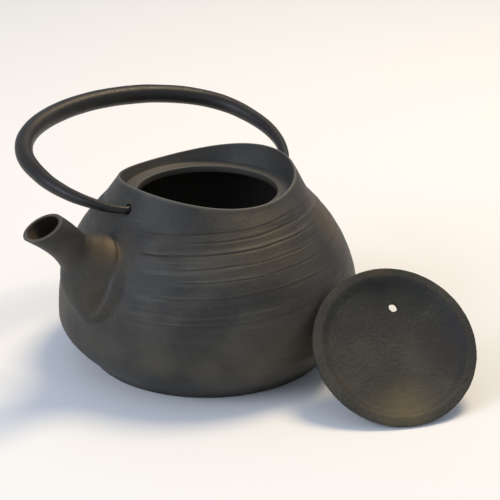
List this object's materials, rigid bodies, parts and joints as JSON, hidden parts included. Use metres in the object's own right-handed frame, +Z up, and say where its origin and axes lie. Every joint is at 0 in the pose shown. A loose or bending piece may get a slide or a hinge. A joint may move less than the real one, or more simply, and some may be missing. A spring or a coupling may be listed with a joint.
{
  "type": "cast iron kettle",
  "caption": "Small cast iron kettle with a swinging bail handle, a short upturned spout and a lift-off lid that leans against its side.",
  "frame": {"origin": "middle of the flat foot, on the surface that the kettle stands on", "axes": "+Z up, +X along the spout, the bail's pivot axis runs along X, and the bail leans towards -Y at rest"},
  "size_m": [0.1995, 0.2602, 0.1244],
  "materials": {
    "kettle_iron": "matte brown-black, sand cast, with fine brushed rings round the body",
    "bail_iron": "satin brown-black, smoothed bar",
    "lid_iron": "matte brown-black, grainy sand cast face"
  },
  "bodies": {
    "kettle": {"kettle_body": "kettle_iron"},
    "bail": {"bail_handle": "bail_iron"},
    "lid": {"lid": "lid_iron"}
  },
  "joints": [
    {"name": "bail_swing", "type": "hinge", "parent": "kettle", "child": "bail", "pos_m": [0, 0, 0.0943], "axis": [-1, 0, 0], "range_deg": [0, 153.6]},
    {"name": "lid_swing", "type": "hinge", "parent": "kettle", "child": "lid", "pos_m": [-0.01293, 0.06757, 0.08051], "axis": [0.966, 0.1324, -0.222], "range_deg": [0, 214.81]}
  ]
}
